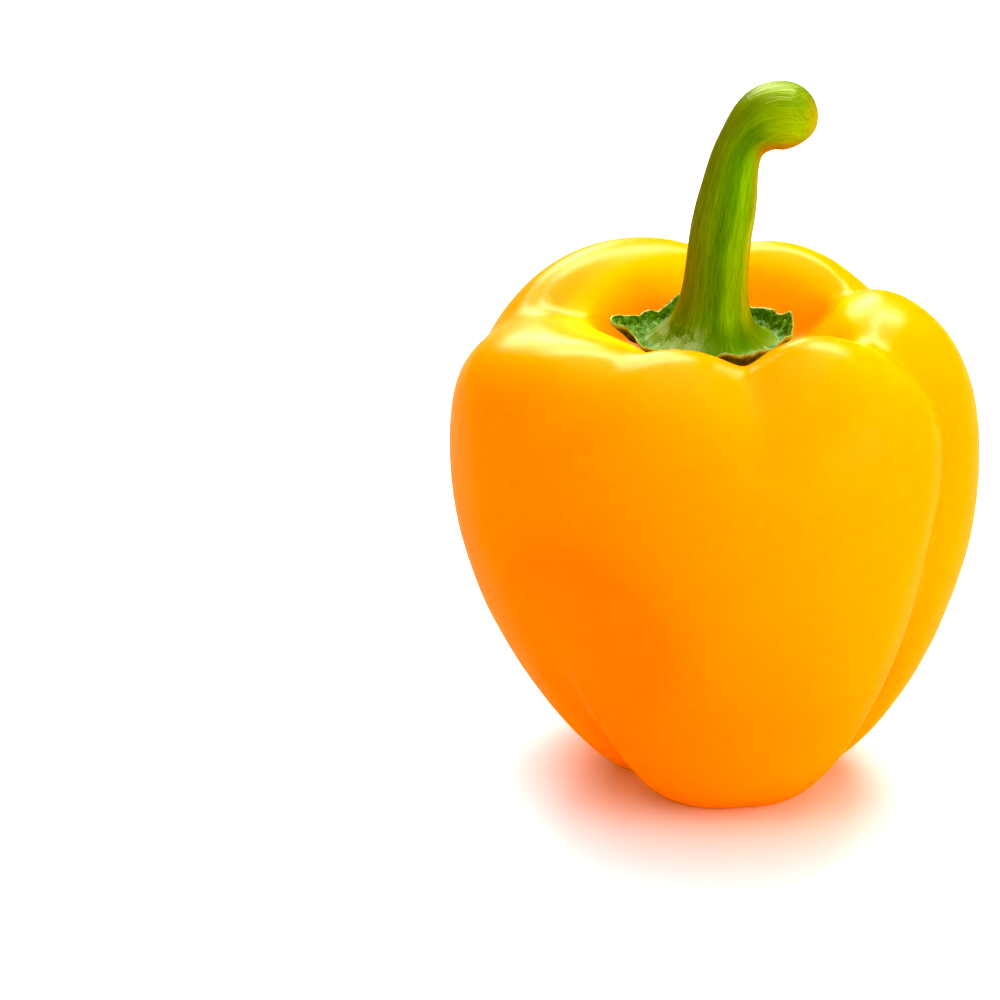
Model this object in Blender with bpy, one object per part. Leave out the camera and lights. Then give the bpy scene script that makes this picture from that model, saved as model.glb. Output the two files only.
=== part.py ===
"""A ripe yellow bell pepper, standing on its toes, with its calyx and its bent stem.

Metres, +Z up, +X to the right as the pepper is seen from its front (-Y).
The origin is on the surface that the pepper stands on, under the middle of its box.
"""
import bmesh
import bpy
import numpy as np

# The fruit's outline through a lobe, radius and height, from the stem hollow to the blossom end.
MERIDIAN = (
    (0.0000, 0.0725),
    (0.0090, 0.0728),
    (0.0142, 0.0752),
    (0.0178, 0.0810),
    (0.0240, 0.0849),
    (0.0346, 0.0804),
    (0.0420, 0.0680),
    (0.0435, 0.0535),
    (0.0410, 0.0360),
    (0.0350, 0.0180),
    (0.0270, 0.0050),
    (0.0175, -0.0014),
    (0.0085, 0.0020),
    (0.0000, 0.0055),
)
# Places in MERIDIAN of the crest of the shoulder, the widest belly and the toes it stands on.
CREST, BELLY, TOE = 4, 7, 11

# The outline is level at both ends.
HOLLOW_WAY = (1.0, 0.0)
BLOSSOM_WAY = (-1.0, 0.0)

# The furrows between the lobes: azimuth in degrees at crest, belly and toe,
# depth at crest, belly and toe, half width in degrees at belly and toe,
# and the degrees that round the crease at the crest.
FURROWS = (
    ((328, 328, 322), (0.0060, 0.0040, 0.0060), 10, 4),
    ((32, 28, 30), (0.0060, 0.0030, 0.0040), 11, 7),
    ((90, 90, 90), (0.0040, 0.0016, 0.0018), 13, 7),
    ((173, 160, 160), (0.0046, 0.0016, 0.0040), 13, 11),
    ((236, 226, 218), (0.0024, 0.0008, 0.0040), 11, 4),
    ((276, 278, 281), (0.0050, 0.0003, 0.0005), 12, 4),
)
CREASE_WIDTH = 15       # degrees over which the crease at the crest dies away to each side

# The lobes: azimuth and half width in degrees, lift of the crest and of the toe,
# and how far the lobe stands out at shoulder, belly and toe.
LOBES = (
    (200, 26, (-0.0036, 0.0000), (0.0056, 0.0005, -0.0035)),
    (252, 30, (-0.0010, 0.0004), (0.0005, 0.0000, -0.0008)),
    (308, 25, (0.0005, 0.0000), (0.0010, 0.0000, 0.0000)),
    (0, 25, (-0.0015, -0.0003), (0.0000, -0.0008, -0.0040)),
    (134, 28, (-0.0003, 0.0000), (0.0010, 0.0005, 0.0000)),
)
# Along the skin from the bottom of the hollow, as shares of the way to the crest:
RISE_END = 0.85         # where the furrows have their full depth
LIFT_START = 0.45       # where the lobes begin to be lifted
SPREAD_START = 0.4      # where the lobes begin to stand out
SPREAD_END = 1.4        # where they stand out in full
TOE_LEAN = 0.0010       # how far the toes sit to the right of the shoulder
STAND = (0.0005, 0.0006)  # moves the fruit so that the origin is under the middle of its box
FRUIT_SEGMENTS = 96
FRUIT_RINGS = 58

# The calyx: a flat floor under the stem, and a saucer of sepals that turn up at their tips.
CALYX_FLOOR = 0.0740    # height of the middle of its wall at the floor
CALYX_WALL = 0.0010
CALYX_FLAT = 0.0095     # radius of the flat floor
CALYX_REACH = 0.0118    # radius of the rim between two sepals
CALYX_RISE = 0.0014     # height of the rim between two sepals, over the floor
CALYX_WAVES = 13        # creases round the rim
CALYX_WAVE = 0.00025
# azimuth and half width in degrees, reach beyond the rim, lift of the tip
SEPALS = (
    (182, 17, 0.0046, 0.0024),
    (112, 15, 0.0010, 0.0022),
    (56, 15, 0.0000, 0.0004),
    (10, 13, 0.0000, 0.0026),
    (334, 12, 0.0002, 0.0008),
    (284, 18, 0.0008, 0.0004),
    (226, 18, 0.0030, 0.0004),
)
CALYX_SEGMENTS = 84
CALYX_RINGS = 19        # an odd number leaves two rings for the edge of the wall

# The stem: points of its middle line, right and up, from its base to the middle of its knob.
STEM_PATH = (
    (-0.0009, 0.0749),
    (-0.0004, 0.0830),
    (0.0003, 0.0920),
    (0.0014, 0.0990),
    (0.0030, 0.1046),
    (0.0056, 0.1092),
    (0.0098, 0.1119),
)
FOOT_WAY = (0.0, 1.0)     # the stem leaves the calyx straight up
KNOB_WAY = (0.995, -0.1)  # and ends pointing right and a little down
STEM_RADIUS = 0.0038
STEM_TAPER = 0.0011     # how much thicker it is just above the flare
TAPER_START = 0.45      # shares of its length between which it gets thinner
TAPER_END = 0.87
FLARE = 0.0047          # how much wider it is where it spreads onto the calyx
FLARE_HEIGHT = 0.0036
KNOB = 0.0015           # how much thicker the knob is than the neck
KNOB_START = 0.76       # share of the length where the knob begins to swell
STEM_RIBS = 5
RIB_AZIMUTH = 303
RIB_SHARE = 0.055       # height of a rib, as a share of the radius
STEM_SEGMENTS = 30
STEM_RINGS = 36
CAP_RINGS = 4           # rings of the flat foot
DOME_RINGS = 6          # rings of the round end


def clear_scene():
    """Removes whatever the scene holds."""
    for old in list(bpy.data.objects):
        bpy.data.objects.remove(old, do_unlink=True)


def material(name, colour, roughness):
    """A plain finish of one colour."""
    finish = bpy.data.materials.new(name)
    finish.use_nodes = True
    shader = finish.node_tree.nodes["Principled BSDF"]
    shader.inputs["Base Color"].default_value = (*colour, 1.0)
    shader.inputs["Roughness"].default_value = roughness
    shader.inputs["Metallic"].default_value = 0.0
    return finish


def smooth_step(x):
    """Runs from 0 to 1 with no kink at either end."""
    x = np.clip(x, 0.0, 1.0)
    return x * x * x * (x * (6.0 * x - 15.0) + 10.0)


def knots(points):
    """The share of the whole length at which each point of a path comes."""
    steps = np.linalg.norm(np.diff(points, axis=0), axis=1)
    along = np.concatenate([[0.0], np.cumsum(steps)])
    return along / along[-1], along[-1]


def smooth_path(points, at, start, end):
    """Points and directions at the shares "at" of the smooth curve through all points.

    start and end are the unit directions in which the curve leaves and arrives.
    """
    points = np.asarray(points, float)
    t, length = knots(points)
    h = np.diff(t)[:, None]
    pull = np.diff(points, axis=0) / h
    count = len(points)
    system = np.eye(count)
    wanted = np.zeros_like(points)
    wanted[0] = np.asarray(start) * length
    wanted[-1] = np.asarray(end) * length
    for i in range(1, count - 1):
        before, after = h[i - 1, 0], h[i, 0]
        system[i, i - 1:i + 2] = 1.0 / before, 2.0 / before + 2.0 / after, 1.0 / after
        wanted[i] = 3.0 * (pull[i] / after + pull[i - 1] / before)
    slope = np.linalg.solve(system, wanted)
    i = np.clip(np.searchsorted(t, at, side="right") - 1, 0, count - 2)
    step = h[i]
    x = ((at - t[i])[:, None]) / step
    place = (
        (1 + 2 * x) * (1 - x) ** 2 * points[i]
        + x * (1 - x) ** 2 * step * slope[i]
        + x ** 2 * (3 - 2 * x) * points[i + 1]
        - x ** 2 * (1 - x) * step * slope[i + 1]
    )
    way = (
        6 * x * (x - 1) * (points[i] - points[i + 1]) / step
        + (1 - x) * (1 - 3 * x) * slope[i]
        + x * (3 * x - 2) * slope[i + 1]
    )
    return place, way / np.linalg.norm(way, axis=1)[:, None]


def turn(degrees, middle):
    """How far an azimuth is from another, in degrees from -180 to 180."""
    return (degrees - middle + 180.0) % 360.0 - 180.0


def fruit_skin(azimuth, share):
    """The fruit's skin at an azimuth, and at a share of the way down the meridian."""
    path, way = smooth_path(MERIDIAN, share, HOLLOW_WAY, BLOSSOM_WAY)
    radius, height = path.T
    knot, _ = knots(np.asarray(MERIDIAN))
    crest, belly, toe = knot[CREST], knot[BELLY], knot[TOE]
    risen = smooth_step(share / (RISE_END * crest))
    to_belly = smooth_step((share - crest) / (belly - crest))
    to_toe = smooth_step((share - belly) / (toe - belly))
    gone = smooth_step((1.0 - share) / (1.0 - toe))
    at_crest = risen * (1.0 - to_belly)
    lifted = smooth_step((share / crest - LIFT_START) / (1.0 - LIFT_START)) * (1.0 - to_belly)
    spread = smooth_step((share / crest - SPREAD_START) / (SPREAD_END - SPREAD_START)) * (1.0 - to_belly)
    at_belly = to_belly * (1.0 - to_toe)
    at_toe = to_toe * gone
    degrees = np.degrees(azimuth)
    depth = np.zeros_like(share)
    for middles, depths, half_width, rounding in FURROWS:
        middle = middles[0] + (middles[1] - middles[0]) * to_belly
        middle = middle + (middles[2] - middles[1]) * to_toe
        turned = turn(degrees, middle)
        crease = np.exp(-(np.hypot(turned, rounding) - rounding) / CREASE_WIDTH)
        furrow = 1.0 / (1.0 + (turned / half_width) ** 2)
        depth += at_crest * depths[0] * crease
        depth += (at_belly * depths[1] + at_toe * depths[2]) * furrow
    radius = radius + depth * way[:, 1]
    height = height - depth * way[:, 0]
    for middle, half_width, lifts, out in LOBES:
        swell = np.exp(-0.5 * (turn(degrees, middle) / half_width) ** 2)
        radius = radius + swell * (spread * out[0] + at_belly * out[1] + at_toe * out[2])
        height = height + swell * (lifted * lifts[0] + at_toe * lifts[1])
    lean = TOE_LEAN * smooth_step((share - crest) / (toe - crest))
    x = radius * np.cos(azimuth) + lean + STAND[0]
    y = radius * np.sin(azimuth) + STAND[1]
    return np.stack([x, y, np.maximum(height, 0.0)], axis=1)


def calyx_skin(azimuth, share):
    """The calyx's skin: its upper side for the first half of share, then its underside."""
    ring = np.round(share * CALYX_RINGS)
    last = (CALYX_RINGS - 1) // 2
    upper = ring <= last
    across = np.where(upper, ring, CALYX_RINGS - ring) / last
    degrees = np.degrees(azimuth)
    reach = np.full_like(share, CALYX_REACH)
    rise = np.full_like(share, CALYX_RISE)
    for middle, half_width, out, lift in SEPALS:
        point = 1.0 / (1.0 + (turn(degrees, middle) / half_width) ** 2)
        reach += out * point
        rise += lift * point
    radius = reach * across
    # the first half of the step, so that the saucer is steepest at its rim
    up = 2.0 * smooth_step(0.5 * (radius - CALYX_FLAT) / (reach - CALYX_FLAT))
    crease = CALYX_WAVE * np.cos(CALYX_WAVES * azimuth) * up
    side = np.where(upper, 0.5, -0.5) * CALYX_WALL
    height = CALYX_FLOOR + rise * up + crease + side
    return np.stack([radius * np.cos(azimuth), radius * np.sin(azimuth), height], axis=1)


def stem_skin(azimuth, share):
    """The stem's skin, from the tip of its knob down to the middle of its foot."""
    ring = np.round(share * STEM_RINGS)
    tube_rings = STEM_RINGS - CAP_RINGS - DOME_RINGS
    along = np.clip(1.0 - (ring - DOME_RINGS) / tube_rings, 0.0, 1.0)
    path, way = smooth_path(STEM_PATH, along, FOOT_WAY, KNOB_WAY)
    length = knots(np.asarray(STEM_PATH))[1]
    flare = FLARE * np.exp(-along * length / FLARE_HEIGHT)
    knob = KNOB * smooth_step((along - KNOB_START) / (1.0 - KNOB_START))
    thinned = smooth_step((along - TAPER_START) / (TAPER_END - TAPER_START))
    radius = STEM_RADIUS + STEM_TAPER * (1.0 - thinned) + flare + knob
    rib = RIB_SHARE * np.cos(STEM_RIBS * (azimuth - np.radians(RIB_AZIMUTH)))
    radius = radius * (1.0 + rib * (1.0 - smooth_step((along - KNOB_START) / (1.0 - KNOB_START))))
    polar = np.clip(1.0 - ring / DOME_RINGS, 0.0, 1.0) * np.pi / 2.0
    ahead = radius * np.sin(polar)
    foot = np.clip((STEM_RINGS - ring) / CAP_RINGS, 0.0, 1.0)
    radius = radius * np.cos(polar) * foot
    side = radius * np.cos(azimuth)
    x = path[:, 0] + side * way[:, 1] + ahead * way[:, 0]
    z = path[:, 1] - side * way[:, 0] + ahead * way[:, 1]
    return np.stack([x, radius * np.sin(azimuth), z], axis=1)


def shaped_ball(name, segments, rings, skin, finish):
    """A ball of rings and segments whose points are moved onto a skin, as one closed body."""
    mesh = bpy.data.meshes.new(name)
    ball = bmesh.new()
    bmesh.ops.create_uvsphere(ball, u_segments=segments, v_segments=rings, radius=1.0)
    points = np.array([vertex.co for vertex in ball.verts])
    azimuth = np.arctan2(points[:, 1], points[:, 0])
    share = np.arccos(np.clip(points[:, 2], -1.0, 1.0)) / np.pi
    for vertex, place in zip(ball.verts, skin(azimuth, share)):
        vertex.co = place
    ball.to_mesh(mesh)
    ball.free()
    mesh.shade_smooth()
    mesh.materials.append(finish)
    piece = bpy.data.objects.new(name, mesh)
    bpy.context.collection.objects.link(piece)
    return piece


def make_fruit():
    """The whole fruit, one solid with six lobes and a hollow for the stem."""
    finish = material("ripe_skin", (1.0, 0.50, 0.01), 0.28)
    return shaped_ball("fruit", FRUIT_SEGMENTS, FRUIT_RINGS, fruit_skin, finish)


def make_calyx():
    """The green saucer of fused sepals under the stem."""
    finish = material("calyx_green", (0.06, 0.19, 0.02), 0.55)
    return shaped_ball("calyx", CALYX_SEGMENTS, CALYX_RINGS, calyx_skin, finish)


def make_stem():
    """The ribbed stem, spread at its foot and bent over to a knob at its end."""
    finish = material("stem_green", (0.20, 0.36, 0.02), 0.45)
    return shaped_ball("stem", STEM_SEGMENTS, STEM_RINGS, stem_skin, finish)


clear_scene()
make_fruit()
make_calyx()
make_stem()
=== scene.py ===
import math

import bpy
import numpy as np
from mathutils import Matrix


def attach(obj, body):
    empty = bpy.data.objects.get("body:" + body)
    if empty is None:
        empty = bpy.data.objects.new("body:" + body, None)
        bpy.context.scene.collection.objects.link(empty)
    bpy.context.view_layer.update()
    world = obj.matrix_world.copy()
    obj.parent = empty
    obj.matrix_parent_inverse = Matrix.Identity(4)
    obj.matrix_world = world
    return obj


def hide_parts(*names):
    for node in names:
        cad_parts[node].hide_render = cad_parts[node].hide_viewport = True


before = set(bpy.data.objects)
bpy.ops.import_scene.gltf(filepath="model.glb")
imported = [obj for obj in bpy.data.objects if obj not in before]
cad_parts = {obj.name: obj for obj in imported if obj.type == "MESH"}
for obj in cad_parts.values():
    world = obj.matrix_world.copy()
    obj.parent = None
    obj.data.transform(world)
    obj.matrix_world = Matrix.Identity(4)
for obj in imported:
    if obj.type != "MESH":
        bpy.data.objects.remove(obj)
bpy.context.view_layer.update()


# The fruit: one fleshy ripe berry with six lobes. It is modelled from a ball whose points are moved
# onto the skin's formula: an outline turned about the core, furrows cut in it, lobes raised on it.
# Its skin is smooth and waxy, yellow round the top and to the right and deeper orange low on the left,
# partly its own ripening and partly painted shade, with painted light on the wall of its stem hollow.

# radius and height in metres, from the middle of the stem hollow over the crest to the blossom end
FRUIT_OUTLINE = (
    (0.0000, 0.0725),
    (0.0090, 0.0728),
    (0.0142, 0.0752),
    (0.0178, 0.0810),
    (0.0240, 0.0849),
    (0.0346, 0.0804),
    (0.0420, 0.0680),
    (0.0435, 0.0535),
    (0.0410, 0.0360),
    (0.0350, 0.0180),
    (0.0270, 0.0050),
    (0.0175, -0.0014),
    (0.0085, 0.0020),
    (0.0000, 0.0055),
)
CREST, BELLY, TOE = 4, 7, 11         # their rows in the outline
HOLLOW_WAY = (1.0, 0.0)              # which way the outline runs where it starts
BLOSSOM_WAY = (-1.0, 0.0)            # and where it ends
# azimuths and depths at the crest, the belly and the toe, then half width, rounding and sway;
# azimuths are in degrees from the right-hand side, and the front is at 270
FURROWS = (
    ((327, 326, 325), (0.0060, 0.0040, 0.0060), 8, 10, 9),
    ((32, 28, 30), (0.0060, 0.0030, 0.0040), 11, 7, 0),
    ((90, 90, 90), (0.0040, 0.0016, 0.0018), 13, 7, 0),
    ((173, 160, 160), (0.0046, 0.0016, 0.0040), 13, 11, 0),
    ((236, 226, 218), (0.0024, 0.0008, 0.0040), 11, 4, 0),
    ((276, 278, 281), (0.0050, 0.0003, 0.0005), 12, 4, 0),
)
CREASE_WIDTH = 15        # degrees over which a crease between two domed lobes dies away
SWAY_HEIGHT = 0.068      # where a furrow that sways is furthest from its straight way
SWAY_SPAN = 0.011
# azimuth, half width, lifts at the crest and the toe, reaches outwards at the crest, belly and toe
LOBES = (
    (200, 26, (-0.0036, 0.0000), (0.0056, 0.0005, -0.0035)),
    (252, 30, (-0.0010, 0.0004), (0.0005, 0.0000, -0.0008)),
    (308, 25, (0.0005, 0.0000), (0.0010, 0.0000, 0.0000)),
    (0, 25, (-0.0015, 0.0012), (0.0014, -0.0008, -0.0025)),
    (134, 28, (-0.0003, 0.0000), (0.0010, 0.0005, 0.0000)),
)
RISE_END = 0.85          # these are shares of the way from the middle of the hollow to the crest:
LIFT_START = 0.45        # where furrows are at full depth, and where lobes start to rise,
SPREAD_START = 0.4       # start to reach outwards
SPREAD_END = 1.4         # and have their full reach,
WALL_START = 0.45        # where the wall of the hollow starts,
WALL_RISE = 0.3          # how soon it is all wall
WALL_FADE = 0.25         # and how far below the crest it fades
TOE_LEAN = 0.0010        # how far the toe stands to the right of the core
STAND = (0.0005, 0.0006)             # where the core stands, in X and Y
FRUIT_SEGMENTS = 400
FRUIT_RINGS = 220
UNEVEN_SIZE = 0.016      # width of the slight swells in the skin
UNEVEN_HEIGHT = 0.0004
LEAST_WEIGHT = 0.001     # points that weigh less than this are left as they are
CREASE_PASSES = 4        # times that the creases are evened out


def smooth_step(x):
    """Runs smoothly from 0 to 1 while x does."""
    x = np.clip(x, 0.0, 1.0)
    return x * x * x * (x * (6.0 * x - 15.0) + 10.0)


def bell(x):
    """A round hump, 1 at its top, that has died away by x = 3."""
    return np.exp(-0.5 * x ** 2)


def peak(x):
    """A narrow hump, 1 at its top and a half at x = 1, with long sides."""
    return 1.0 / (1.0 + x ** 2)


def turn(degrees, middle):
    """How far each azimuth is turned from the middle one, from -180 to 180."""
    return (degrees - middle + 180.0) % 360.0 - 180.0


def shares_along(points):
    """Each point's share of the way along a path, and the whole way's length."""
    steps = np.linalg.norm(np.diff(points, axis=0), axis=1)
    along = np.concatenate([[0.0], np.cumsum(steps)])
    return along / along[-1], along[-1]


def smooth_path(points, at, start, end):
    """Points and directions of the smooth curve through all points, at shares of its length."""
    points = np.asarray(points, float)
    t, length = shares_along(points)
    h = np.diff(t)[:, None]
    pull = np.diff(points, axis=0) / h
    count = len(points)
    system = np.eye(count)
    wanted = np.zeros_like(points)
    wanted[0] = np.asarray(start) * length
    wanted[-1] = np.asarray(end) * length
    for i in range(1, count - 1):
        before, after = h[i - 1, 0], h[i, 0]
        system[i, i - 1:i + 2] = 1.0 / before, 2.0 / before + 2.0 / after, 1.0 / after
        wanted[i] = 3.0 * (pull[i] / after + pull[i - 1] / before)
    slope = np.linalg.solve(system, wanted)
    i = np.clip(np.searchsorted(t, at, side="right") - 1, 0, count - 2)
    step = h[i]
    x = ((at - t[i])[:, None]) / step
    place = (
        (1 + 2 * x) * (1 - x) ** 2 * points[i]
        + x * (1 - x) ** 2 * step * slope[i]
        + x ** 2 * (3 - 2 * x) * points[i + 1]
        - x ** 2 * (1 - x) * step * slope[i + 1]
    )
    way = (
        6 * x * (x - 1) * (points[i] - points[i + 1]) / step
        + (1 - x) * (1 - 3 * x) * slope[i]
        + x * (3 * x - 2) * slope[i + 1]
    )
    return place, way / np.linalg.norm(way, axis=1)[:, None]


def put_points(piece, places):
    piece.data.vertices.foreach_set("co", np.asarray(places, np.float32).ravel())
    piece.data.update()


def points_of(piece):
    places = np.empty(len(piece.data.vertices) * 3, np.float32)
    piece.data.vertices.foreach_get("co", places)
    return places.reshape(-1, 3).astype(float)


def add_ball(name, segments, rings):
    """A sheet rolled into a ball and welded: each point's azimuth and its share of the way down."""
    bpy.ops.object.select_all(action="DESELECT")
    bpy.ops.mesh.primitive_grid_add(x_subdivisions=segments, y_subdivisions=rings, size=2.0)
    ball = bpy.context.object
    ball.name = name
    ball.data.name = name
    x, y, _ = points_of(ball).T
    azimuth = np.pi * (x + 1.0)
    polar = 0.5 * np.pi * (1.0 - y)
    across = np.sin(polar)
    put_points(ball, np.stack([across * np.cos(azimuth), across * np.sin(azimuth), np.cos(polar)], axis=1))
    bpy.ops.object.mode_set(mode="EDIT")
    bpy.ops.mesh.select_all(action="SELECT")
    bpy.ops.mesh.remove_doubles(threshold=1e-5)
    bpy.ops.object.mode_set(mode="OBJECT")
    x, y, z = points_of(ball).T
    return ball, np.arctan2(y, x), np.arccos(np.clip(z, -1.0, 1.0)) / np.pi


def keep_value(piece, name, values):
    """A number for each point of the mesh, for the material to read."""
    layer = piece.data.attributes.new(name, "FLOAT", "POINT")
    layer.data.foreach_set("value", np.asarray(values, np.float32))


def keep_place(piece, name, places):
    """A place for each point of the mesh, for the material to read."""
    layer = piece.data.attributes.new(name, "FLOAT_VECTOR", "POINT")
    layer.data.foreach_set("vector", np.asarray(places, np.float32).ravel())


def weigh(piece, name, weights):
    """A named group of points, each with its weight, for a modifier to read."""
    group = piece.vertex_groups.new(name=name)
    for index in np.nonzero(weights > LEAST_WEIGHT)[0]:
        group.add([int(index)], float(weights[index]), "REPLACE")


def swell_and_apply(piece, name, size, height, weights=None):
    """Slight natural unevenness, pushed out and in along the normals, less where the weight is less."""
    cloud = bpy.data.textures.new(name, "CLOUDS")
    cloud.noise_scale = size
    cloud.noise_depth = 1
    uneven = piece.modifiers.new(name, "DISPLACE")
    uneven.texture = cloud
    uneven.texture_coords = "LOCAL"
    uneven.strength = height
    uneven.mid_level = 0.5
    if weights is not None:
        weigh(piece, name, weights)
        uneven.vertex_group = name
    bpy.context.view_layer.objects.active = piece
    bpy.ops.object.modifier_apply(modifier=name)


def relax_and_apply(piece, name, passes, weights=None):
    """Evens out tight creases, less where the weight is less."""
    relax = piece.modifiers.new(name, "SMOOTH")
    relax.factor = 0.5
    relax.iterations = passes
    if weights is not None:
        weigh(piece, name, weights)
        relax.vertex_group = name
    bpy.context.view_layer.objects.active = piece
    bpy.ops.object.modifier_apply(modifier=name)


def fruit_skin(azimuth, share):
    """Places on the skin, and how much each belongs to the wall of the stem hollow."""
    path, way = smooth_path(FRUIT_OUTLINE, share, HOLLOW_WAY, BLOSSOM_WAY)
    radius, height = path.T
    knot, _ = shares_along(np.asarray(FRUIT_OUTLINE))
    crest, belly, toe = knot[CREST], knot[BELLY], knot[TOE]
    risen = smooth_step(share / (RISE_END * crest))
    to_belly = smooth_step((share - crest) / (belly - crest))
    to_toe = smooth_step((share - belly) / (toe - belly))
    gone = smooth_step((1.0 - share) / (1.0 - toe))
    at_crest = risen * (1.0 - to_belly)
    lifted = smooth_step((share / crest - LIFT_START) / (1.0 - LIFT_START)) * (1.0 - to_belly)
    spread = smooth_step((share / crest - SPREAD_START) / (SPREAD_END - SPREAD_START)) * (1.0 - to_belly)
    at_belly = to_belly * (1.0 - to_toe)
    at_toe = to_toe * gone
    degrees = np.degrees(azimuth)
    depth = np.zeros_like(share)
    for middles, depths, half_width, rounding, sway in FURROWS:
        middle = middles[0] + (middles[1] - middles[0]) * to_belly
        middle = middle + (middles[2] - middles[1]) * to_toe
        middle = middle + sway * bell((path[:, 1] - SWAY_HEIGHT) / SWAY_SPAN)
        turned = turn(degrees, middle)
        crease = np.exp(-(np.hypot(turned, rounding) - rounding) / CREASE_WIDTH)
        depth += at_crest * depths[0] * crease
        depth += (at_belly * depths[1] + at_toe * depths[2]) * peak(turned / half_width)
    radius = radius + depth * way[:, 1]
    height = height - depth * way[:, 0]
    for middle, half_width, lifts, reaches in LOBES:
        swell = bell(turn(degrees, middle) / half_width)
        radius = radius + swell * (spread * reaches[0] + at_belly * reaches[1] + at_toe * reaches[2])
        height = height + swell * (lifted * lifts[0] + at_toe * lifts[1])
    lean = TOE_LEAN * smooth_step((share - crest) / (toe - crest))
    x = radius * np.cos(azimuth) + lean + STAND[0]
    y = radius * np.sin(azimuth) + STAND[1]
    wall = smooth_step((crest - share) / (WALL_FADE * crest))
    wall = wall * smooth_step((share / crest - WALL_START) / WALL_RISE)
    return np.stack([x, y, height], axis=1), wall


fruit, azimuth, share = add_ball("fruit_skin", FRUIT_SEGMENTS, FRUIT_RINGS)
places, wall = fruit_skin(azimuth, share)
put_points(fruit, places)
swell_and_apply(fruit, "skin_swells", UNEVEN_SIZE, UNEVEN_HEIGHT)
relax_and_apply(fruit, "crease", CREASE_PASSES)
places = points_of(fruit)
places[:, 2] = np.maximum(places[:, 2], 0.0)      # the toes are pressed flat on the floor
put_points(fruit, places)
keep_value(fruit, "hollow", wall)
fruit.data.shade_smooth()


def new_material(name):
    """A material, its nodes and its links; the helpers below add to those named nodes and links."""
    finish = bpy.data.materials.new(name)
    finish.use_nodes = True
    return finish, finish.node_tree.nodes, finish.node_tree.links


def set_or_link(socket, value):
    if isinstance(value, (int, float, tuple)):
        socket.default_value = value
    else:
        links.new(value, socket)


def number(operation, first, second):
    """One sum on numbers or on other nodes' outputs."""
    node = nodes.new("ShaderNodeMath")
    node.operation = operation
    set_or_link(node.inputs[0], first)
    set_or_link(node.inputs[1], second)
    return node.outputs[0]


def add(a, b):
    return number("ADD", a, b)


def times(a, b):
    return number("MULTIPLY", a, b)


def between(value, start, end):
    """Runs smoothly from 0 to 1 while the value goes from start to end."""
    node = nodes.new("ShaderNodeMapRange")
    node.interpolation_type = "SMOOTHSTEP"
    links.new(value, node.inputs["Value"])
    node.inputs["From Min"].default_value = start
    node.inputs["From Max"].default_value = end
    return node.outputs["Result"]


def noise(vector, scale, detail):
    """An uneven pattern of numbers round a half: how fine it is, and how many finer ones are in it."""
    node = nodes.new("ShaderNodeTexNoise")
    node.inputs["Scale"].default_value = scale
    node.inputs["Detail"].default_value = detail
    links.new(vector, node.inputs["Vector"])
    return node.outputs["Fac"]


def colour_ramp(value, colours, smooth="B_SPLINE"):
    """Colours by value: each a position with a red, green and blue."""
    node = nodes.new("ShaderNodeValToRGB")
    node.color_ramp.interpolation = smooth
    steps = node.color_ramp.elements
    steps[0].position = colours[0][0]
    steps[0].color = (*colours[0][1], 1.0)
    steps[1].position = colours[-1][0]
    steps[1].color = (*colours[-1][1], 1.0)
    for position, colour in colours[1:-1]:
        steps.new(position).color = (*colour, 1.0)
    links.new(value, node.inputs["Fac"])
    return node.outputs["Color"]


def blend(share, first, second, kind="MIX"):
    """The first colour, with a share of the second mixed in."""
    node = nodes.new("ShaderNodeMix")
    node.data_type = "RGBA"
    node.blend_type = kind
    set_or_link(node.inputs["Factor"], share)
    set_or_link(node.inputs["A"], first)
    set_or_link(node.inputs["B"], second)
    return node.outputs["Result"]


def kept(name, kind="Fac"):
    """What keep_value or keep_place has put on the mesh."""
    node = nodes.new("ShaderNodeAttribute")
    node.attribute_name = name
    return node.outputs[kind]


def bump(height, distance):
    node = nodes.new("ShaderNodeBump")
    node.inputs["Distance"].default_value = distance
    links.new(height, node.inputs["Height"])
    return node.outputs["Normal"]


skin, nodes, links = new_material("ripe_skin")
shader = nodes["Principled BSDF"]
spot = nodes.new("ShaderNodeTexCoord").outputs["Object"]
parts = nodes.new("ShaderNodeSeparateXYZ")
links.new(spot, parts.inputs[0])

# ripeness and painted shade, from deep orange low on the left to bright yellow round the top: it grows
# to the right and upwards, partly the fruit's own ripening and partly painted shade; it is less in a patch
# low on the left, which is painted shade, more on the hollow's wall, which is painted light, with a faint
# mottling
RIPENING_AND_SHADING = 10.0
RIPEST_AND_LEAST_SHADED_X = 0.022         # to the right of this place it grows no more
# a darker orange patch low on the left of the belly: painted shade
SHADE_PATCH_MIDDLE = (-0.020, -0.036, 0.040)
SHADE_PATCH_REACH = (0.024, 0.004)
SHADE_PATCH_SHARE = -0.36
MOTTLE = (38.0, 3.0)     # scale and detail of the pattern
MOTTLE_SHARE = 0.16
RIPE_AND_SHADE_START = -0.08
# painted light: the wall of the stem hollow counts as riper, so it is yellower than the rest of the skin
WALL_PAINTED_LIGHT_SHARE = 0.45
RIPE_AND_SHADE_COLOURS = (
    (0.00, (1.0, 0.260, 0.0)),
    (0.10, (1.0, 0.290, 0.0)),
    (0.22, (1.0, 0.310, 0.0)),
    (0.40, (1.0, 0.325, 0.0)),
    (0.58, (1.0, 0.355, 0.0)),
    (0.76, (1.0, 0.370, 0.0)),
    (1.00, (1.0, 0.385, 0.0)),
)
# painted light: a light yellow mixed into the wall of the stem hollow, in place of the light it lacks
WALL_PAINTED_LIGHT_COLOUR = (1.0, 0.58, 0.0, 1.0)
WALL_PAINTED_LIGHT_TINT = 0.5          # the share of the painted lighter yellow that the hollow's wall shows
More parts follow.
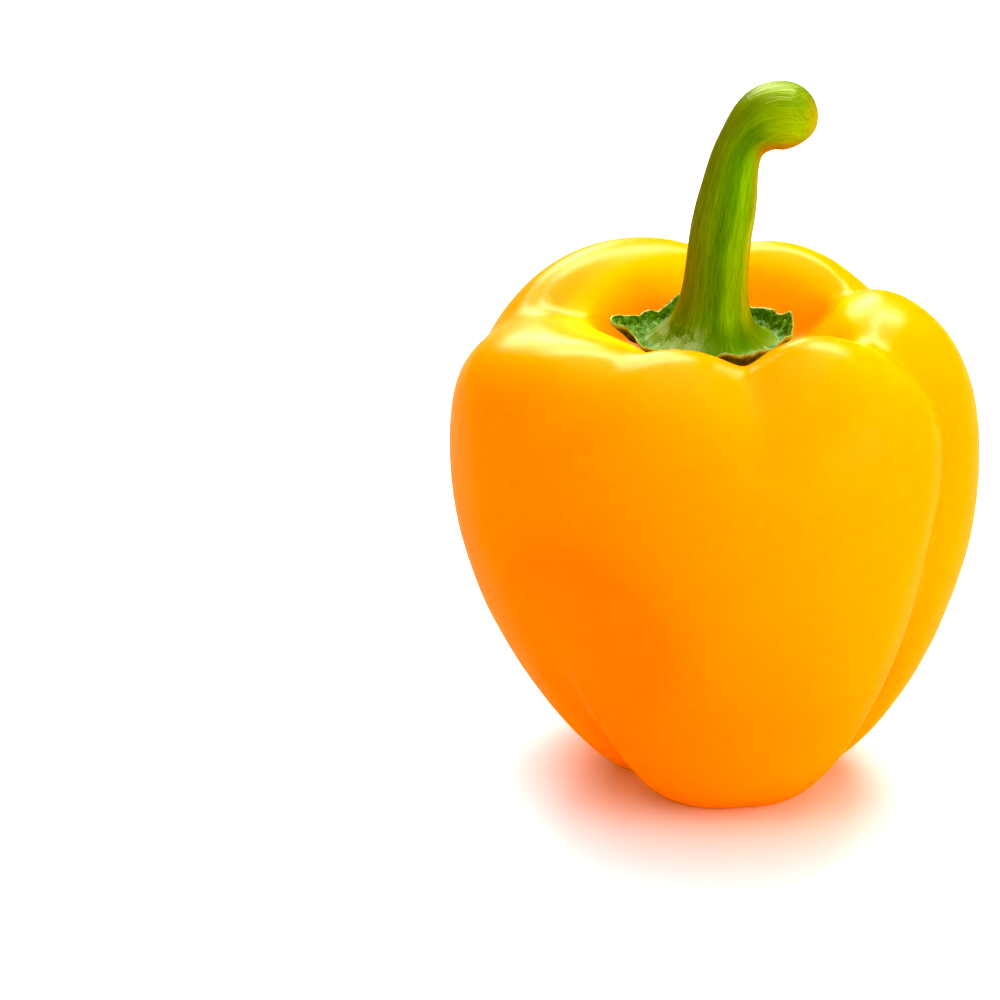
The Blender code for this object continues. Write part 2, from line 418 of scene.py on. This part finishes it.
# partly ripening, partly painted shade: yellower upwards and to the right, more orange low and on the left
ripe_and_shade = times(number("MINIMUM", parts.outputs["X"], RIPEST_AND_LEAST_SHADED_X), RIPENING_AND_SHADING)
ripe_and_shade = add(ripe_and_shade, times(parts.outputs["Z"], RIPENING_AND_SHADING))
# painted shade: less ripeness, so a deeper orange, in a patch low on the left
shade_patch = nodes.new("ShaderNodeVectorMath")
shade_patch.operation = "DISTANCE"
links.new(spot, shade_patch.inputs[0])
shade_patch.inputs[1].default_value = SHADE_PATCH_MIDDLE
ripe_and_shade = add(ripe_and_shade, times(between(shade_patch.outputs["Value"], *SHADE_PATCH_REACH), SHADE_PATCH_SHARE))
ripe_and_shade = add(ripe_and_shade, times(noise(spot, *MOTTLE), MOTTLE_SHARE))
ripe_and_shade = add(ripe_and_shade, RIPE_AND_SHADE_START)
ripe_and_shade = add(ripe_and_shade, times(kept("hollow"), WALL_PAINTED_LIGHT_SHARE))
skin_tone = blend(times(kept("hollow"), WALL_PAINTED_LIGHT_TINT), colour_ramp(ripe_and_shade, RIPE_AND_SHADE_COLOURS), WALL_PAINTED_LIGHT_COLOUR)
links.new(skin_tone, shader.inputs["Base Color"])
shader.inputs["Roughness"].default_value = 0.33
shader.inputs["IOR"].default_value = 1.3
shader.inputs["Specular Tint"].default_value = (1.0, 0.60, 1.0, 1.0)
shader.inputs["Subsurface Weight"].default_value = 0.7
shader.inputs["Subsurface Radius"].default_value = (1.0, 0.45, 0.05)
shader.inputs["Subsurface Scale"].default_value = 0.014

# a painted glow: near the floor the skin gives out an orange light of its own, in place of light
# that passes through the flesh and bounces under the fruit
PAINTED_GLOW_HEIGHTS = (0.024, 0.002)
NO_GLOW = (0.0, 0.0, 0.0, 1.0)
PAINTED_GLOW_COLOUR = (1.0, 0.34, 0.0, 1.0)
painted_glow = blend(between(parts.outputs["Z"], *PAINTED_GLOW_HEIGHTS), NO_GLOW, PAINTED_GLOW_COLOUR)
links.new(painted_glow, shader.inputs["Emission Color"])
shader.inputs["Emission Strength"].default_value = 0.25
fruit.data.materials.append(skin)
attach(fruit, "root")
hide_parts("fruit")


# The calyx: the fused sepals of the flower, a thin leafy saucer at the bottom of the stem hollow,
# puckered and creased outwards, with a dry pale edge and tips that curl up. It grows from the foot
# of the stem.
CALYX_FLOOR = 0.0740     # height of the saucer's middle
CALYX_WALL = 0.0010
CALYX_EDGE_WALL = 0.0006
THIN_START, THIN_SPAN = 0.6, 0.4     # where the wall thins, as shares of the way out to the edge
CALYX_FLAT = 0.0090      # radius of the flat middle
CALYX_REACH = 0.0118
CALYX_RISE = 0.0014
# azimuth, half width, how much further each tip reaches and how much higher it rises
SEPALS = (
    (182, 15, 0.0047, 0.0024),
    (112, 15, 0.0006, 0.0017),
    (56, 15, 0.0000, 0.0004),
    (10, 13, 0.0004, 0.0023),
    (334, 12, 0.0002, 0.0008),
    (284, 18, 0.0008, 0.0004),
    (226, 18, 0.0030, 0.0004),
)
# how many waves go round, their height and where they start: up and down, and in and out
FOLDS = ((9, 0.00016, 0.6), (14, 0.00022, 2.1), (23, 0.00010, 4.0), (37, 0.00004, 1.0))
NICKS = ((11, 0.00016, 2.6), (19, 0.00008, 0.4), (31, 0.00005, 5.0))
LIP = 0.0003             # how far the very edge turns up
LIP_START, LIP_SPAN = 0.9, 0.1
PUCKER_SIZE = 0.0024
PUCKER_HEIGHT = 0.0009
PUCKER_START, PUCKER_SPAN = 0.5, 0.3
CALM_START, CALM_SPAN = 0.8, 0.2
CALM = 0.8               # the share of the puckers that is gone at the edge
CALYX_SEGMENTS = 480
CALYX_RINGS = 121


def waves(azimuth, terms):
    """Waves round the calyx, each with its count, height and start."""
    return sum(height * np.cos(count * azimuth + start) for count, height, start in terms)


def calyx_skin(azimuth, share):
    """Places on the calyx and how far out each is, from 0 in the middle to 1 at the edge."""
    ring = np.round(share * CALYX_RINGS)
    last = (CALYX_RINGS - 1) // 2
    upper = ring <= last
    across = np.where(upper, ring, CALYX_RINGS - ring) / last
    degrees = np.degrees(azimuth)
    reach = CALYX_REACH + waves(azimuth, NICKS)
    rise = np.full_like(share, CALYX_RISE)
    for middle, half_width, out, lift in SEPALS:
        tip = peak(turn(degrees, middle) / half_width)
        reach += out * tip
        rise += lift * tip
    radius = reach * across
    up = 2.0 * smooth_step(0.5 * (radius - CALYX_FLAT) / (reach - CALYX_FLAT))
    lip = LIP * smooth_step((across - LIP_START) / LIP_SPAN)
    thinned = smooth_step((across - THIN_START) / THIN_SPAN)
    wall = CALYX_WALL + (CALYX_EDGE_WALL - CALYX_WALL) * thinned
    side = np.where(upper, 0.5, -0.5) * wall
    height = CALYX_FLOOR + rise * up + waves(azimuth, FOLDS) * up + lip + side
    return np.stack([radius * np.cos(azimuth), radius * np.sin(azimuth), height], axis=1), across


calyx, azimuth, share = add_ball("calyx_saucer", CALYX_SEGMENTS, CALYX_RINGS)
places, across = calyx_skin(azimuth, share)
put_points(calyx, places)
puckered = smooth_step((across - PUCKER_START) / PUCKER_SPAN)
calmed = smooth_step((across - CALM_START) / CALM_SPAN)
swell_and_apply(calyx, "puckers", PUCKER_SIZE, PUCKER_HEIGHT, puckered * (1.0 - CALM * calmed))
keep_value(calyx, "across", across)
calyx.data.shade_smooth()

LEAF_COLOURS = (
    (0.32, (0.03, 0.10, 0.002)),
    (0.50, (0.09, 0.20, 0.008)),
    (0.62, (0.17, 0.31, 0.040)),
    (0.78, (0.36, 0.46, 0.140)),
)
DRY_COLOUR = (0.48, 0.50, 0.18, 1.0)
DRY_SHARE = 0.65
DRY_EDGE = (0.982, 0.996)
VEINS, VEIN_SHARE = (700.0, 3.0), 0.75          # scale and detail of each pattern, and its share
SPECKLE, SPECKLE_SHARE = (2600.0, 2.0), 0.30
SPECKLE_RELIEF = 0.25    # how high the speckle stands beside the veins
LEAF_RELIEF = 0.0008
leafy, nodes, links = new_material("calyx_green")
shader = nodes["Principled BSDF"]
spot = nodes.new("ShaderNodeTexCoord").outputs["Object"]
veins = noise(spot, *VEINS)
speckle = noise(spot, *SPECKLE)
leaf = add(times(veins, VEIN_SHARE), times(speckle, SPECKLE_SHARE))
leaf = colour_ramp(leaf, LEAF_COLOURS, "EASE")
leaf = blend(times(between(kept("across"), *DRY_EDGE), DRY_SHARE), leaf, DRY_COLOUR)
links.new(leaf, shader.inputs["Base Color"])
relief = add(veins, times(speckle, SPECKLE_RELIEF))
links.new(bump(relief, LEAF_RELIEF), shader.inputs["Normal"])
shader.inputs["Roughness"].default_value = 0.42
calyx.data.materials.append(leafy)
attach(calyx, "root")
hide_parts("calyx")


# The stem: the stalk that the fruit hung from, green and fibrous, with blunt ribs and one sharp one.
# It spreads at its foot onto the calyx and bends over to the knob where it left the plant.

# X and height of the stalk's middle, from its foot to its knob
STEM_PATH = (
    (-0.0009, 0.0742),
    (-0.0004, 0.0830),
    (0.0003, 0.0920),
    (0.0014, 0.0990),
    (0.0024, 0.1048),
    (0.0046, 0.1091),
    (0.0096, 0.1116),
)
FOOT_WAY = (0.0, 1.0)
KNOB_WAY = (0.995, -0.1)
STEM_RADIUS = 0.0038
STEM_TAPER = 0.0011      # how much thicker it is below the place where it tapers
TAPER_START = 0.45       # shares of the way up the stalk
TAPER_SPAN = 0.40
FLARE = 0.0055           # how much thicker its foot is, and the height over which that dies away
FLARE_HEIGHT = 0.0033
SKIRT = 0.0012           # the last thin spread of the foot onto the calyx
SKIRT_HEIGHT = 0.0005
KNOB = 0.0018            # how much thicker its knob is
KNOB_START = 0.78
KNOB_CALM = 0.8          # the share of the ribs that is gone at the knob
# azimuth, half width and height as a share of the stalk's radius
RIBS = (
    (239, 20, 0.050),
    (287, 15, 0.055),
    (329, 6, 0.060),
    (15, 16, 0.050),
    (75, 18, 0.060),
    (135, 18, 0.060),
    (192, 14, 0.040),
)
RIB_MEAN = 0.025         # taken off again, so that the ribs leave the stalk as thick as it is
STEM_SEGMENTS = 240
STEM_RINGS = 300
CAP_RINGS = 10           # rings that close the foot
DOME_RINGS = 40          # rings that round off the knob
FIBRE_STRETCH = 0.08     # how much finer the grain runs round the stem than along it
# the tight bend under the knob, where the skin is evened out: its limits, and how far each one fades
BEND_TOP, BEND_TOP_FADE = 0.1145, 0.0025
BEND_LEFT, BEND_LEFT_FADE = 0.0060, 0.0025
BEND_LOW, BEND_LOW_FADE = 0.0980, 0.0040
BEND_RIGHT, BEND_RIGHT_FADE = 0.0155, 0.0030
BEND_PASSES = 800


def stem_skin(azimuth, share):
    """Places on the stem, how far up it each is, and a place in the grain of its fibres."""
    ring = np.round(share * STEM_RINGS)
    tube_rings = STEM_RINGS - CAP_RINGS - DOME_RINGS
    along = np.clip(1.0 - (ring - DOME_RINGS) / tube_rings, 0.0, 1.0)
    path, way = smooth_path(STEM_PATH, along, FOOT_WAY, KNOB_WAY)
    length = shares_along(np.asarray(STEM_PATH))[1]
    flare = FLARE * np.exp(-along * length / FLARE_HEIGHT)
    skirt = SKIRT * np.exp(-along * length / SKIRT_HEIGHT)
    knob = smooth_step((along - KNOB_START) / (1.0 - KNOB_START))
    taper = STEM_TAPER * (1.0 - smooth_step((along - TAPER_START) / TAPER_SPAN))
    radius = STEM_RADIUS + taper + flare + skirt + KNOB * knob
    degrees = np.degrees(azimuth)
    rib = np.full_like(share, -RIB_MEAN)
    for middle, half_width, height in RIBS:
        rib += height * bell(turn(degrees, middle) / half_width)
    radius = radius * (1.0 + rib * (1.0 - KNOB_CALM * knob))
    polar = np.clip(1.0 - ring / DOME_RINGS, 0.0, 1.0) * np.pi / 2.0
    ahead = radius * np.sin(polar)
    foot = np.clip((STEM_RINGS - ring) / CAP_RINGS, 0.0, 1.0)
    radius = radius * np.cos(polar) * foot
    side = radius * np.cos(azimuth)
    x = path[:, 0] + side * way[:, 1] + ahead * way[:, 0]
    z = path[:, 1] - side * way[:, 0] + ahead * way[:, 1]
    grain_radius = STEM_RADIUS * np.cos(polar)
    grain = (along * length + ahead) * FIBRE_STRETCH
    grain = np.stack([grain_radius * np.cos(azimuth), grain_radius * np.sin(azimuth), grain], axis=1)
    return np.stack([x, radius * np.sin(azimuth), z], axis=1), along, grain


stem, azimuth, share = add_ball("stem_stalk", STEM_SEGMENTS, STEM_RINGS)
places, along, grain = stem_skin(azimuth, share)
put_points(stem, places)
keep_value(stem, "along", along)
keep_value(stem, "sideways", 0.5 + 0.5 * np.cos(azimuth))
x, _, z = places.T
bend = smooth_step((BEND_TOP - z) / BEND_TOP_FADE) * smooth_step((x - BEND_LEFT) / BEND_LEFT_FADE)
bend = bend * smooth_step((z - BEND_LOW) / BEND_LOW_FADE) * smooth_step((BEND_RIGHT - x) / BEND_RIGHT_FADE)
relax_and_apply(stem, "bend", BEND_PASSES, bend)
keep_place(stem, "grain", grain)
stem.data.shade_smooth()

# from left to right: olive, dark green in the middle, a bright stripe and a yellow ridge
SIDE_COLOURS = (
    (0.00, (0.24, 0.27, 0.010)),
    (0.16, (0.24, 0.31, 0.005)),
    (0.31, (0.20, 0.33, 0.003)),
    (0.40, (0.14, 0.28, 0.003)),
    (0.56, (0.13, 0.28, 0.003)),
    (0.66, (0.23, 0.42, 0.006)),
    (0.80, (0.24, 0.44, 0.006)),
    (0.86, (0.20, 0.36, 0.006)),
    (0.92, (0.46, 0.50, 0.020)),
    (1.00, (0.30, 0.40, 0.010)),
)
FIBRES, FIBRE_SHARE = (1500.0, 3.0), 0.7        # scale and detail of each pattern, and its share
FINE_FIBRES, FINE_FIBRE_SHARE = (5200.0, 2.0), 0.5
FIBRE_RELIEF = 0.0004
FIBRE_WANDER = 0.05      # how far the fibres carry these colours sideways
TIP_COLOUR = (0.32, 0.42, 0.004, 1.0)
TIP_ALONG = (0.87, 1.00)
FOOT_COLOUR = (0.10, 0.20, 0.010, 1.0)
FOOT_SHARE = 0.6
FOOT_Z = (0.0805, 0.0770)
END_WARM_AND_BOUNCE_COLOUR = (0.60, 0.40, 0.010, 1.0)             # a warm tone at the knob's end, partly its own and partly painted orange bounce light from the fruit
END_SHARE = 0.8
END_X, END_Z = (0.0120, 0.0155), (0.0900, 0.1000)
UNDER_PAINTED_BOUNCE_COLOUR = (0.42, 0.20, 0.001, 1.0)           # painted orange bounce light from the fruit on the knob's underside
UNDER_X, UNDER_TOP, UNDER_LOW = (0.0045, 0.0075), (0.1096, 0.1070), (0.0930, 0.1000)
BLOOM_COLOUR = (0.44, 0.50, 0.25, 1.0)            # pale dusty flecks on the left of the foot
BLOOM_SHARE = 0.7
SPOTS, SPOT_SHARE = (420.0, 1.0), 0.6
FLECKS, FLECK_SHARE = (3000.0, 3.0), 0.4
BLOOM_DUST, BLOOM_Z, BLOOM_SIDE = (0.40, 0.56), (0.0800, 0.0765), (0.55, 0.25)
SHOULDER_COLOUR = (0.13, 0.20, 0.030, 1.0)        # the darker top of the bend
SHOULDER_SHARE = 0.45
SHOULDER_Z = (0.1110, 0.1160)
STREAK_COLOURS = ((0.35, (0.72, 0.76, 0.72)), (0.85, (1.18, 1.14, 1.18)))
stalk, nodes, links = new_material("stem_green")
shader = nodes["Principled BSDF"]
spot = nodes.new("ShaderNodeTexCoord").outputs["Object"]
parts = nodes.new("ShaderNodeSeparateXYZ")
links.new(spot, parts.inputs[0])
fibres = noise(kept("grain", "Vector"), *FIBRES)
fine_fibres = noise(kept("grain", "Vector"), *FINE_FIBRES)
sideways = add(kept("sideways"), times(add(fibres, -0.5), FIBRE_WANDER))
green = colour_ramp(sideways, SIDE_COLOURS)
green = blend(between(kept("along"), *TIP_ALONG), green, TIP_COLOUR)
foot = between(parts.outputs["Z"], *FOOT_Z)
green = blend(times(foot, FOOT_SHARE), green, FOOT_COLOUR)
# the knob's warm end: partly its own tone, partly painted orange bounce light from the fruit
end = times(between(parts.outputs["X"], *END_X), between(parts.outputs["Z"], *END_Z))
green = blend(times(end, END_SHARE), green, END_WARM_AND_BOUNCE_COLOUR)
# painted orange bounce light from the fruit, on the knob's underside
under_painted_bounce = times(between(parts.outputs["Z"], *UNDER_TOP), between(parts.outputs["X"], *UNDER_X))
under_painted_bounce = times(under_painted_bounce, between(parts.outputs["Z"], *UNDER_LOW))
green = blend(under_painted_bounce, green, UNDER_PAINTED_BOUNCE_COLOUR)
dust = add(times(noise(spot, *SPOTS), SPOT_SHARE), times(noise(spot, *FLECKS), FLECK_SHARE))
bloom = between(dust, *BLOOM_DUST)
bloom = times(bloom, between(parts.outputs["Z"], *BLOOM_Z))
bloom = times(bloom, between(sideways, *BLOOM_SIDE))
green = blend(times(bloom, BLOOM_SHARE), green, BLOOM_COLOUR)
shoulder = between(parts.outputs["Z"], *SHOULDER_Z)
green = blend(times(shoulder, SHOULDER_SHARE), green, SHOULDER_COLOUR)
grainy = add(times(fibres, FIBRE_SHARE), times(fine_fibres, FINE_FIBRE_SHARE))
green = blend(1.0, green, colour_ramp(grainy, STREAK_COLOURS, "LINEAR"), "MULTIPLY")
links.new(green, shader.inputs["Base Color"])
links.new(bump(grainy, FIBRE_RELIEF), shader.inputs["Normal"])
shader.inputs["Roughness"].default_value = 0.34
shader.inputs["IOR"].default_value = 1.45
shader.inputs["Specular Tint"].default_value = (1.0, 0.95, 0.55, 1.0)
stem.data.materials.append(stalk)
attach(stem, "root")
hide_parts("stem")


# The floor: a plain matt white sheet, much larger than the view, that the pepper stands on. The waxy
# skin mirrors it only faintly: in reflections it shows a dimmer, warmer colour, a painted reflection.
FLOOR_SIZE = 6.0
PAPER_COLOUR = (0.91, 0.90, 0.96, 1.0)
PAINTED_REFLECTION_COLOUR = (0.42, 0.34, 0.28, 1.0)
bpy.ops.object.select_all(action="DESELECT")
bpy.ops.mesh.primitive_plane_add(size=FLOOR_SIZE, location=(0.0, 0.0, 0.0))
floor = bpy.context.object
floor.name = "floor"
paper, nodes, links = new_material("white_paper")
shader = nodes["Principled BSDF"]
mirrored = nodes.new("ShaderNodeLightPath").outputs["Is Glossy Ray"]
links.new(blend(mirrored, PAPER_COLOUR, PAINTED_REFLECTION_COLOUR), shader.inputs["Base Color"])
shader.inputs["Roughness"].default_value = 0.9
floor.data.materials.append(paper)


# The light: a dim white room, a bright narrow panel high behind the pepper and a dimmer one low
# behind it, a large one over it, a soft one at the front right and a faint one at the front left.
MIDDLE = (0.0, 0.0, 0.06)
# name, azimuth, elevation, distance, width, height and brightness, where lit white paper is about 1
PANELS = (
    ("back_panel", 84, 48, 1.3, 1.2, 0.20, 27.0),
    ("low_panel", 103, 22, 1.5, 0.7, 0.32, 10.0),
    ("top_panel", 270, 84, 1.3, 1.45, 1.45, 3.2),
    ("right_panel", 325, 18, 1.5, 1.8, 0.95, 3.5),
    ("left_panel", 232, 28, 1.5, 1.3, 1.1, 1.1),
)
ROOM_COLOUR = (1.0, 1.0, 1.0, 1.0)
ROOM_BRIGHTNESS = 0.15
GAMMA = 0.72
BLACK_LEVEL = (0.015, 0.015, 0.05)

for name, azimuth, elevation, distance, width, height, brightness in PANELS:
    lamp = bpy.data.lights.new(name, "AREA")
    lamp.shape = "RECTANGLE"
    lamp.size = width
    lamp.size_y = height
    lamp.energy = brightness * math.pi * width * height
    holder = bpy.data.objects.new(name, lamp)
    bpy.context.collection.objects.link(holder)
    turned, raised = math.radians(azimuth), math.radians(elevation)
    holder.location = (
        MIDDLE[0] + distance * math.cos(raised) * math.cos(turned),
        MIDDLE[1] + distance * math.cos(raised) * math.sin(turned),
        MIDDLE[2] + distance * math.sin(raised),
    )
    holder.rotation_euler = (math.pi / 2 - raised, 0.0, turned + math.pi / 2)      # it faces the pepper

room = bpy.data.worlds.new("white_room")
room.use_nodes = True
room.node_tree.nodes["Background"].inputs["Color"].default_value = ROOM_COLOUR
room.node_tree.nodes["Background"].inputs["Strength"].default_value = ROOM_BRIGHTNESS
bpy.context.scene.world = room
tones = bpy.context.scene.view_settings
tones.view_transform = "Standard"
tones.gamma = GAMMA
tones.use_curve_mapping = True
tones.curve_mapping.black_level = BLACK_LEVEL
tones.curve_mapping.update()


# The camera: a long lens that looks down a little, with the pepper to the right of the middle. The
# place where the pepper stands is at the two ORIGIN values, in pixels from the top left corner.
CAMERA_TILT = 22.0
CAMERA_DISTANCE = 0.700
PIXELS_PER_METRE = 6000.0
PICTURE = 1000
ORIGIN_X, ORIGIN_Y = 708, 760
SENSOR = 36.0
NEAREST = 0.01           # nothing nearer to the lens than this is seen

tilt = math.radians(CAMERA_TILT)
right = (ORIGIN_X - PICTURE / 2) / PIXELS_PER_METRE
up = (PICTURE / 2 - ORIGIN_Y) / PIXELS_PER_METRE
lens = bpy.data.cameras.new("camera")
lens.sensor_width = SENSOR
lens.lens = SENSOR * CAMERA_DISTANCE * PIXELS_PER_METRE / PICTURE
lens.clip_start = NEAREST
camera = bpy.data.objects.new("camera", lens)
bpy.context.collection.objects.link(camera)
camera.location = (
    -right,
    -up * math.sin(tilt) - CAMERA_DISTANCE * math.cos(tilt),
    -up * math.cos(tilt) + CAMERA_DISTANCE * math.sin(tilt),
)
camera.rotation_euler = (math.pi / 2 - tilt, 0.0, 0.0)
bpy.context.scene.camera = camera
